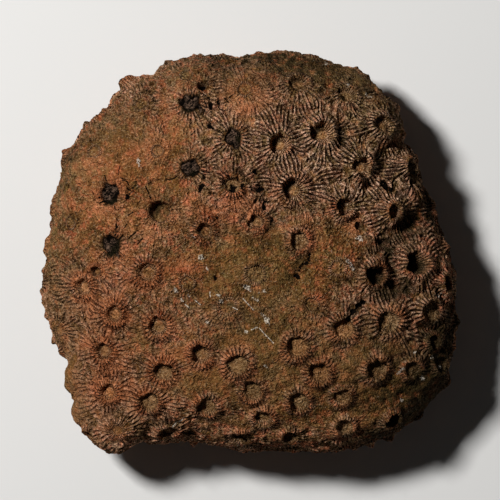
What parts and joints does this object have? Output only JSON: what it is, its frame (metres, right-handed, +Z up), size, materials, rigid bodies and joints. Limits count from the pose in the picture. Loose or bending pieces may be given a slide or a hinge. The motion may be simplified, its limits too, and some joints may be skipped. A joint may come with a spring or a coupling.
{
  "type": "fossil coral head",
  "caption": "Massive fossil coral head: a low, uneven dome covered in round calices with radiating septa, cut off flat underneath so that it rests.",
  "frame": {"origin": "on the flat cut underneath, below the middle of the bounding box", "axes": "+Z up, out of the top of the dome; +Y towards the side that is the top of the specimen as it is shown from above, +X to its right"},
  "size_m": [0.0836, 0.0806, 0.031],
  "materials": {
    "stained_limestone": "rough, dry iron-stained limestone, red-brown on the ridges and darker in the grooves"
  },
  "bodies": {
    "root": {"coral_head": "stained_limestone"}
  },
  "joints": []
}
